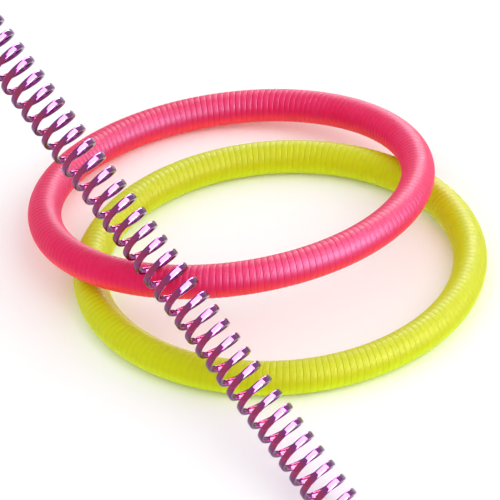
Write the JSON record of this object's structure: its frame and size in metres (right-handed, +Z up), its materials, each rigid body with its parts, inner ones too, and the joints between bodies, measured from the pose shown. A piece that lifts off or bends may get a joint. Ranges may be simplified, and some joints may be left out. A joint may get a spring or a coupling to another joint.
{
  "type": "spring coil toy set",
  "caption": "Set of spring coil toys: two close-wound coil rings, one leaning on the other, with an open stretched coil lying across them.",
  "frame": {"origin": "centre of the circle along which the flat yellow ring touches the surface that it lies on", "axes": "+Z up; +Y away from the viewer, from the purple coil's low end towards its free end; +X to the viewer's right"},
  "size_m": [0.1025, 0.1451, 0.0405],
  "materials": {
    "yellow_plastic": "satin translucent neon plastic strand, close wound",
    "pink_plastic": "satin translucent neon plastic strand, close wound",
    "purple_metal": "glossy anodised flattened wire, open wound"
  },
  "bodies": {
    "yellow_turns_1": {"yellow_turns_1": "yellow_plastic"},
    "yellow_turns_2": {"yellow_turns_2": "yellow_plastic"},
    "yellow_turns_3": {"yellow_turns_3": "yellow_plastic"},
    "yellow_turns_4": {"yellow_turns_4": "yellow_plastic"},
    "yellow_turns_5": {"yellow_turns_5": "yellow_plastic"},
    "yellow_turns_6": {"yellow_turns_6": "yellow_plastic"},
    "yellow_turns_7": {"yellow_turns_7": "yellow_plastic"},
    "yellow_turns_8": {"yellow_turns_8": "yellow_plastic"},
    "yellow_turns_9": {"yellow_turns_9": "yellow_plastic"},
    "pink_turns_1": {"pink_turns_1": "pink_plastic"},
    "pink_turns_2": {"pink_turns_2": "pink_plastic"},
    "pink_turns_3": {"pink_turns_3": "pink_plastic"},
    "pink_turns_4": {"pink_turns_4": "pink_plastic"},
    "pink_turns_5": {"pink_turns_5": "pink_plastic"},
    "pink_turns_6": {"pink_turns_6": "pink_plastic"},
    "pink_turns_7": {"pink_turns_7": "pink_plastic"},
    "pink_turns_8": {"pink_turns_8": "pink_plastic"},
    "pink_turns_9": {"pink_turns_9": "pink_plastic"},
    "purple_turns_01": {"purple_turns_01": "purple_metal"},
    "purple_turns_02": {"purple_turns_02": "purple_metal"},
    "purple_turns_03": {"purple_turns_03": "purple_metal"},
    "purple_turns_04": {"purple_turns_04": "purple_metal"},
    "purple_turns_05": {"purple_turns_05": "purple_metal"},
    "purple_turns_06": {"purple_turns_06": "purple_metal"},
    "purple_turns_07": {"purple_turns_07": "purple_metal"},
    "purple_turns_08": {"purple_turns_08": "purple_metal"},
    "purple_turns_09": {"purple_turns_09": "purple_metal"},
    "purple_turns_10": {"purple_turns_10": "purple_metal"},
    "purple_turns_11": {"purple_turns_11": "purple_metal"},
    "purple_turns_12": {"purple_turns_12": "purple_metal"}
  },
  "joints": [
    {"name": "yellow_squeeze", "type": "hinge", "parent": "yellow_turns_2", "child": "yellow_turns_3", "pos_m": [-0.02443, 0.02911, 0.0034], "axis": [0, 0, 1], "range_deg": [0, 11], "stiffness_Nm_per_rad": 0.02},
    {"name": "yellow_bend_4", "type": "hinge", "parent": "yellow_turns_3", "child": "yellow_turns_4", "pos_m": [-0.03742, -0.0066, 0.0034], "axis": [0, 0, -1], "range_deg": [0, 11]},
    {"name": "yellow_bend_5", "type": "hinge", "parent": "yellow_turns_4", "child": "yellow_turns_5", "pos_m": [-0.02911, -0.02443, 0.0034], "axis": [0, 0, -1], "range_deg": [0, 11]},
    {"name": "yellow_bend_6", "type": "hinge", "parent": "yellow_turns_5", "child": "yellow_turns_6", "pos_m": [0.0066, -0.03742, 0.0034], "axis": [0, 0, 1], "range_deg": [0, 11]},
    {"name": "yellow_bend_7", "type": "hinge", "parent": "yellow_turns_6", "child": "yellow_turns_7", "pos_m": [0.02443, -0.02911, 0.0034], "axis": [0, 0, 1], "range_deg": [0, 11]},
    {"name": "yellow_bend_8", "type": "hinge", "parent": "yellow_turns_7", "child": "yellow_turns_8", "pos_m": [0.03742, 0.0066, 0.0034], "axis": [0, 0, -1], "range_deg": [0, 11]},
    {"name": "yellow_bend_9", "type": "hinge", "parent": "yellow_turns_8", "child": "yellow_turns_9", "pos_m": [0.02911, 0.02443, 0.0034], "axis": [0, 0, -1], "range_deg": [0, 11]},
    {"name": "yellow_bend_1", "type": "hinge", "parent": "yellow_turns_2", "child": "yellow_turns_1", "pos_m": [-0.0066, 0.03742, 0.0034], "axis": [0, 0, -1], "range_deg": [0, 11]},
    {"name": "pink_squeeze", "type": "hinge", "parent": "pink_turns_2", "child": "pink_turns_3", "pos_m": [-0.033, 0.0475, 0.00359], "axis": [0.0625, -0.134, -0.989], "range_deg": [0, 11], "stiffness_Nm_per_rad": 0.02},
    {"name": "pink_bend_4", "type": "hinge", "parent": "pink_turns_3", "child": "pink_turns_4", "pos_m": [-0.04612, 0.01206, 0.00756], "axis": [-0.0625, 0.134, 0.989], "range_deg": [0, 11]},
    {"name": "pink_bend_5", "type": "hinge", "parent": "pink_turns_4", "child": "pink_turns_5", "pos_m": [-0.0379, -0.00557, 0.01047], "axis": [-0.0625, 0.134, 0.989], "range_deg": [0, 11]},
    {"name": "pink_bend_6", "type": "hinge", "parent": "pink_turns_5", "child": "pink_turns_6", "pos_m": [-0.00232, -0.0183, 0.01444], "axis": [0.0625, -0.134, -0.989], "range_deg": [0, 11]},
    {"name": "pink_bend_7", "type": "hinge", "parent": "pink_turns_6", "child": "pink_turns_7", "pos_m": [0.01551, -0.00998, 0.01444], "axis": [0.0625, -0.134, -0.989], "range_deg": [0, 11]},
    {"name": "pink_bend_8", "type": "hinge", "parent": "pink_turns_7", "child": "pink_turns_8", "pos_m": [0.02863, 0.02546, 0.01047], "axis": [-0.0625, 0.134, 0.989], "range_deg": [0, 11]},
    {"name": "pink_bend_9", "type": "hinge", "parent": "pink_turns_8", "child": "pink_turns_9", "pos_m": [0.02041, 0.04309, 0.00756], "axis": [-0.0625, 0.134, 0.989], "range_deg": [0, 11]},
    {"name": "pink_bend_1", "type": "hinge", "parent": "pink_turns_2", "child": "pink_turns_1", "pos_m": [-0.01518, 0.05582, 0.00359], "axis": [-0.0625, 0.134, 0.989], "range_deg": [0, 11]},
    {"name": "pink_lift", "type": "slide", "parent": "yellow_turns_2", "child": "pink_turns_2", "axis": [0, 0, 1], "range_m": [0, 0.06]},
    {"name": "purple_lift", "type": "slide", "parent": "pink_turns_2", "child": "purple_turns_01", "axis": [0, 0, 1], "range_m": [0, 0.06]},
    {"name": "purple_stretch", "type": "slide", "parent": "purple_turns_01", "child": "purple_turns_02", "axis": [-0.443, 0.8694, 0.219], "range_m": [-0.0023, 0.005], "stiffness_N_per_m": 25},
    {"name": "purple_stretch_03", "type": "slide", "parent": "purple_turns_02", "child": "purple_turns_03", "axis": [-0.443, 0.8694, 0.219], "range_m": [-0.0023, 0.005]},
    {"name": "purple_stretch_04", "type": "slide", "parent": "purple_turns_03", "child": "purple_turns_04", "axis": [-0.443, 0.8694, 0.219], "range_m": [-0.0023, 0.005]},
    {"name": "purple_stretch_05", "type": "slide", "parent": "purple_turns_04", "child": "purple_turns_05", "axis": [-0.443, 0.8694, 0.219], "range_m": [-0.0023, 0.005]},
    {"name": "purple_stretch_06", "type": "slide", "parent": "purple_turns_05", "child": "purple_turns_06", "axis": [-0.443, 0.8694, 0.219], "range_m": [-0.0023, 0.005]},
    {"name": "purple_stretch_07", "type": "slide", "parent": "purple_turns_06", "child": "purple_turns_07", "axis": [-0.443, 0.8694, 0.219], "range_m": [-0.0023, 0.005]},
    {"name": "purple_stretch_08", "type": "slide", "parent": "purple_turns_07", "child": "purple_turns_08", "axis": [-0.443, 0.8694, 0.219], "range_m": [-0.0023, 0.005]},
    {"name": "purple_stretch_09", "type": "slide", "parent": "purple_turns_08", "child": "purple_turns_09", "axis": [-0.443, 0.8694, 0.219], "range_m": [-0.0023, 0.005]},
    {"name": "purple_stretch_10", "type": "slide", "parent": "purple_turns_09", "child": "purple_turns_10", "axis": [-0.443, 0.8694, 0.219], "range_m": [-0.0023, 0.005]},
    {"name": "purple_stretch_11", "type": "slide", "parent": "purple_turns_10", "child": "purple_turns_11", "axis": [-0.443, 0.8694, 0.219], "range_m": [-0.0023, 0.005]},
    {"name": "purple_stretch_12", "type": "slide", "parent": "purple_turns_11", "child": "purple_turns_12", "axis": [-0.443, 0.8694, 0.219], "range_m": [-0.0023, 0.005]}
  ],
  "couplings": [
    {"joint": "yellow_bend_4", "follows": "yellow_squeeze", "ratio": 1},
    {"joint": "yellow_bend_5", "follows": "yellow_squeeze", "ratio": 1},
    {"joint": "yellow_bend_6", "follows": "yellow_squeeze", "ratio": 1},
    {"joint": "yellow_bend_7", "follows": "yellow_squeeze", "ratio": 1},
    {"joint": "yellow_bend_8", "follows": "yellow_squeeze", "ratio": 1},
    {"joint": "yellow_bend_9", "follows": "yellow_squeeze", "ratio": 1},
    {"joint": "yellow_bend_1", "follows": "yellow_squeeze", "ratio": 1},
    {"joint": "pink_bend_4", "follows": "pink_squeeze", "ratio": 1},
    {"joint": "pink_bend_5", "follows": "pink_squeeze", "ratio": 1},
    {"joint": "pink_bend_6", "follows": "pink_squeeze", "ratio": 1},
    {"joint": "pink_bend_7", "follows": "pink_squeeze", "ratio": 1},
    {"joint": "pink_bend_8", "follows": "pink_squeeze", "ratio": 1},
    {"joint": "pink_bend_9", "follows": "pink_squeeze", "ratio": 1},
    {"joint": "pink_bend_1", "follows": "pink_squeeze", "ratio": 1},
    {"joint": "purple_stretch_03", "follows": "purple_stretch", "ratio": 1},
    {"joint": "purple_stretch_04", "follows": "purple_stretch", "ratio": 1},
    {"joint": "purple_stretch_05", "follows": "purple_stretch", "ratio": 1},
    {"joint": "purple_stretch_06", "follows": "purple_stretch", "ratio": 1},
    {"joint": "purple_stretch_07", "follows": "purple_stretch", "ratio": 1},
    {"joint": "purple_stretch_08", "follows": "purple_stretch", "ratio": 1},
    {"joint": "purple_stretch_09", "follows": "purple_stretch", "ratio": 1},
    {"joint": "purple_stretch_10", "follows": "purple_stretch", "ratio": 1},
    {"joint": "purple_stretch_11", "follows": "purple_stretch", "ratio": 1},
    {"joint": "purple_stretch_12", "follows": "purple_stretch", "ratio": 1}
  ]
}
